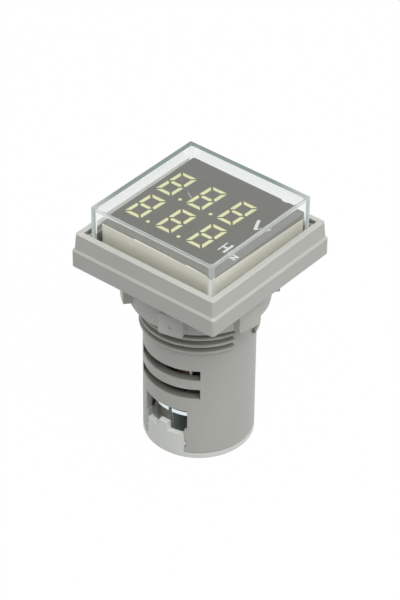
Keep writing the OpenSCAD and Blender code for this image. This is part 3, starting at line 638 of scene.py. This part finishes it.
bm = bmesh.new()
bmesh.ops.create_cube(bm, size=1)
case_size = (CASE_HIGH - CASE_LOW).to_3d() + Vector((0, 0, case_roof - case_floor))
case_middle = ((CASE_HIGH + CASE_LOW) / 2).to_3d() + Vector((0, 0, (case_roof + case_floor) / 2))
bmesh.ops.scale(bm, verts=bm.verts, vec=case_size)
bmesh.ops.translate(bm, verts=bm.verts, vec=case_middle)
round_edges(bm, upright_edges(bm), CASE_SIDE_R, 4)
round_edges(bm, edges_at(bm, case_roof), CASE_TOP_R, 2)
cream_plastic = moulded("cream_plastic", srgb(250, 246, 231), rough=0.5, cloud=0.03)
# Painted glow: the cream case glows faintly, standing in for light through the cover.
paint_glow(cream_plastic, srgb(250, 244, 226), 0.07)
case_shell = closed_piece("case_shell", bm, cream_plastic)
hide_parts("display_case")
print("case", [round(v / MM, 2) for v in case_size], "mm")

# %% Cut the film
FILM_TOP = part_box("display_film")[1].z + RAISED
FILM_OUTLINE = [
    (-11.95, -12.0), (-4.6, -12.05), (-4.4, -11.85), (-3.7, -11.9), (6.9, -12.08), (7.0, -11.9),
    (7.8, -11.95), (12.55, -12.12), (12.62, -12.05), (12.62, 5.0), (12.62, 12.3), (12.3, 12.6),
    (9.3, 12.55), (9.1, 12.3), (8.0, 12.35), (7.9, 12.65), (-11.9, 12.8), (-12.2, 12.5),
    (-12.0, 0.5), (-12.1, 0.2), (-12.05, -0.6),
]
RIGHT_SIDE = 12.55 * MM
LIP_FRONT, LIP_BACK = 0.1 * MM, 0.85 * MM
bm = bmesh.new()
corners = [bm.verts.new((x * MM, y * MM, case_roof)) for x, y in FILM_OUTLINE]
sheet = bm.faces.new(corners)
raised = bmesh.ops.extrude_face_region(bm, geom=[sheet])["geom"]
bmesh.ops.translate(bm, verts=[v for v in raised if isinstance(v, bmesh.types.BMVert)],
                    vec=(0, 0, FILM_TOP - case_roof))
for vert in corners:
    if vert.co.x > RIGHT_SIDE:
        way = (vert.co.y - CASE_LOW.y) / (CASE_HIGH.y - CASE_LOW.y)
        vert.co.z -= LIP_FRONT + (LIP_BACK - LIP_FRONT) * way
tinted_film = moulded("tinted_film", srgb(118, 117, 110), rough=0.35, grain=0.1, cloud=0.08)
film_sheet = closed_piece("film_sheet", bm, tinted_film)
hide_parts("display_film")
print("film", len(FILM_OUTLINE), "corners")

# %% [markdown]
# ## The segments
# Each digit has seven strokes of pale yellow resin. A stroke is a bar with mitred
# ends, and a clear gap keeps it from its neighbours. The strokes of one digit are
# worked out from its width, height, stroke and gap, and each digit leans slightly.
# The decimal points are short round posts with twelve sides.

# %% Make the digits
DIGIT_W, DIGIT_H = 3.66 * MM, 6.95 * MM
STROKE, GAP = 0.72 * MM, 0.27 * MM
LEAN = math.tan(math.radians(2.5))
SKEW = 0.03
COLUMNS = [-9.017 * MM, -2.15 * MM, 4.717 * MM]
ROWS = [4.325 * MM, -4.325 * MM]
POINT_R = 0.36 * MM
POINT_SIDES = 12
POINT_RIGHT, POINT_UP = 3.4 * MM, 0.27 * MM  # from a digit's lower middle
RESIN_TOP = FILM_TOP + 0.012 * MM


def digit_outlines():
    """The seven outlines of one digit, about its middle."""
    x, y, t, g = DIGIT_W / 2, DIGIT_H / 2, STROKE, GAP
    top = [(-x + g, y), (x - g, y), (x - t - g, y - t), (-x + t + g, y - t)]
    side = [(-x, y - g), (-x + t, y - t - g), (-x + t, t / 2 + g), (-x + t / 2, g), (-x, g)]
    bar = [(-x + t / 2 + g, 0), (-x + t + g, t / 2), (x - t - g, t / 2),
           (x - t / 2 - g, 0), (x - t - g, -t / 2), (-x + t + g, -t / 2)]
    flipped = [[(px, -py) for px, py in outline] for outline in (top, side)]
    mirrored = [[(-px, py) for px, py in outline] for outline in (side, flipped[1])]
    return [top, side, bar] + flipped + mirrored


def post(bm, outline, low_z, high_z):
    """A closed prism on an outline, added to a bmesh."""
    base = bm.faces.new([bm.verts.new((x, y, low_z)) for x, y in outline])
    lifted = bmesh.ops.extrude_face_region(bm, geom=[base])["geom"]
    bmesh.ops.translate(bm, verts=[v for v in lifted if isinstance(v, bmesh.types.BMVert)],
                        vec=(0, 0, high_z - low_z))


bm = bmesh.new()
made = 0
for column in COLUMNS:
    for row in ROWS:
        for outline in digit_outlines():
            placed = [(column - row * SKEW + x + y * LEAN, row + y) for x, y in outline]
            post(bm, placed, case_roof, RESIN_TOP)
            made += 1
turns = [math.radians(side * 360 / POINT_SIDES) for side in range(POINT_SIDES)]
ring = [(POINT_R * math.cos(turn), POINT_R * math.sin(turn)) for turn in turns]
for column in COLUMNS[:2]:
    for row in ROWS:
        foot = row - DIGIT_H / 2 + POINT_UP
        placed = [(column + POINT_RIGHT + x, foot + y) for x, y in ring]
        post(bm, placed, case_roof, RESIN_TOP)
        made += 1
segment_resin = moulded("segment_resin", srgb(243, 241, 188), rough=0.3, grain=0.05)
segments = closed_piece("segments", bm, segment_resin)
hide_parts("display_segments")
print("strokes and points", made)

# %% [markdown]
# ## The unit letters
# The units stand beside each row in thin white print: V for the upper row and Hz
# for the lower one. A letter is a few straight strokes, and a stroke is a flat bar
# of ink laid from one point to another, so each letter is a short list of strokes.
# A fine pale scratch on the film is drawn in the same way.

# %% Print the unit letters
INK = 0.03 * MM
LAYER_SHARE = 0.1  # each stroke is this much thicker than the one before
HAIR = [(-6.06, 3.83), (-5.65, 3.5), (-5.29, 3.26), (-4.85, 3.02), (-4.38, 2.84)]
HAIR_WIDTH = 0.09


def stroke(bm, start, end, width, ink):
    """A bar of ink between two points of the film, given in millimetres."""
    start, end = Vector(start) * MM, Vector(end) * MM
    along = end - start
    place = (Matrix.Translation(((start + end) / 2).to_3d() + Vector((0, 0, FILM_TOP + ink / 2)))
             @ Matrix.Rotation(math.atan2(along.y, along.x), 4, "Z")
             @ Matrix.Diagonal((along.length, width * MM, ink, 1)))
    bmesh.ops.create_cube(bm, size=1, matrix=place)


LETTERS = {
    "letter_V": [((8.8, 5.1), (10.05, 2.4), 0.6), ((10.05, 2.4), (11.35, 4.7), 0.22)],
    "letter_H": [((8.85, -6.2), (8.85, -3.55), 0.25), ((10.05, -6.2), (10.05, -3.55), 0.5),
                 ((8.85, -4.85), (10.05, -4.85), 0.42)],
    "letter_z": [((11.0, -5.25), (12.2, -5.25), 0.28), ((12.1, -5.3), (11.1, -6.2), 0.3),
                 ((11.0, -6.2), (12.2, -6.2), 0.28)],
}
white_ink = moulded("white_ink", srgb(236, 238, 234), rough=0.5, grain=0.05, cloud=0.02)


def ink_strokes(strokes):
    """Bars of ink; each stroke is a start, an end and a width in millimetres."""
    bm = bmesh.new()
    for layer, (start, end, width) in enumerate(strokes):
        stroke(bm, start, end, width, INK * (1 + LAYER_SHARE * layer))
    return bm


for name, strokes in LETTERS.items():
    bm = ink_strokes(strokes)
    mesh = bpy.data.meshes.new(name)
    bm.to_mesh(mesh)
    bm.free()
    mesh.materials.append(white_ink)
    letter = bpy.data.objects.new(name, mesh)
    bpy.context.collection.objects.link(letter)
    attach(letter, "root")
    print(name, len(strokes), "strokes")

hair_strokes = [(start, end, HAIR_WIDTH) for start, end in zip(HAIR, HAIR[1:])]
scratch = closed_piece("scratch", ink_strokes(hair_strokes), white_ink)
print("scratch", len(hair_strokes), "strokes")

# %% [markdown]
# ## The other finishes
# Inside are ordinary electronic finishes. Each solid keeps its shape and gets the
# material that its real counterpart has.

# %% Finish the display and the parts inside
def finish_node(names, material):
    """Gives CAD nodes a material in place of the plain one that they came with."""
    for name in names:
        mesh = nodes[name].data
        mesh.materials.clear()
        mesh.materials.append(material)


def metal(name, colour, rough=0.25, streak=0.06):
    """Plated metal with fine streaks in its gloss."""
    material, tree, shader, out = blank(name)
    place = node(tree, "ShaderNodeTexCoord")
    stretch = node(tree, "ShaderNodeMapping")
    stretch.inputs["Scale"].default_value = (1, 8, 1)
    grain = node(tree, "ShaderNodeTexNoise", Scale=1 / (0.6 * MM), Detail=3.0)
    gloss = node(tree, "ShaderNodeMapRange", To_Min=rough - streak, To_Max=rough + streak)
    tree.links.new(place.outputs["Object"], stretch.inputs["Vector"])
    tree.links.new(stretch.outputs[0], grain.inputs["Vector"])
    tree.links.new(grain.outputs["Fac"], gloss.inputs["Value"])
    tree.links.new(gloss.outputs["Result"], shader.inputs["Roughness"])
    shader.inputs["Base Color"].default_value = colour
    shader.inputs["Metallic"].default_value = 1.0
    return material


finish_node(["led_chips"], moulded("led_gel", srgb(240, 215, 90), rough=0.2, grain=0.0))
finish_node(["display_board", "driver_board"],
            moulded("board_green", srgb(40, 92, 55), rough=0.3, grain=0.1))
finish_node(["display_pins", "link_pins", "resistor_leads"], metal("tinned", (0.85, 0.85, 0.84, 1)))
finish_node(["link_header", "bridge_rectifier", "voltage_regulator", "control_chip", "chip_resistors"],
            moulded("black_epoxy", srgb(38, 38, 40), rough=0.5))
finish_node(["film_capacitor"], moulded("brown_resin", srgb(92, 44, 34), rough=0.22, grain=0.05))
finish_node(["filter_capacitor"], moulded("black_sleeve", srgb(42, 44, 50), rough=0.25, grain=0.03))
finish_node(["fusible_resistor"], moulded("lacquer", srgb(84, 90, 86), rough=0.2, grain=0.05))
finish_node(["chip_capacitors"], moulded("tan_ceramic", srgb(178, 140, 90), rough=0.5))
finish_node(["terminal_base"], moulded("terminal_plastic", srgb(150, 160, 152), rough=0.5))
finish_node(["terminal_plates"], metal("zinc_plate", (0.78, 0.85, 0.88, 1)))
finish_node(["left_clamp", "right_clamp", "left_screw", "right_screw"],
            metal("screw_zinc", (0.8, 0.82, 0.82, 1)))
